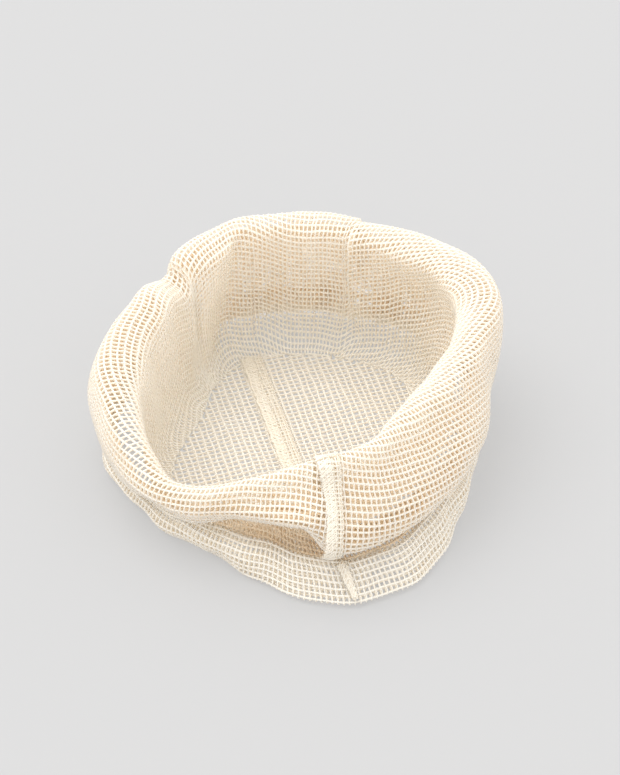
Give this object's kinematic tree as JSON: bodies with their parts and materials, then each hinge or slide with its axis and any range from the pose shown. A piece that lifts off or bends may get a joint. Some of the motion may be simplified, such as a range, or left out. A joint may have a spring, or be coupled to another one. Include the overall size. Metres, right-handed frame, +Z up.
{
  "type": "mesh produce bag",
  "caption": "Open cotton net produce bag standing with its mouth turned out and down as a cuff, with an overlocked side seam and a doubled hem.",
  "frame": {"origin": "on the table, below the middle of the bag's outline", "axes": "+Z up, -Y towards the front, where the bag's side seam with the deep tuck beside it is, +X to the right"},
  "size_m": [0.1924, 0.1942, 0.0769],
  "materials": {
    "cotton_net": "matte",
    "hem_net": "matte",
    "overlock": "matte",
    "stitching": "matte"
  },
  "bodies": {
    "root": {"left_panel_base": "cotton_net", "left_panel_wall": "cotton_net", "left_panel_cuff": "cotton_net", "left_panel_tuck": "cotton_net", "left_panel_hem": "hem_net", "right_panel_base": "cotton_net", "right_panel_wall": "cotton_net", "right_panel_cuff": "cotton_net", "right_panel_tuck": "cotton_net", "right_panel_hem": "hem_net", "side_seam_wall_allowance": "overlock", "side_seam_cuff_allowance": "overlock", "side_seam_hem_allowance": "overlock", "bottom_seam_allowance": "overlock", "left_hem_stitching": "stitching", "right_hem_stitching": "stitching"}
  },
  "joints": []
}
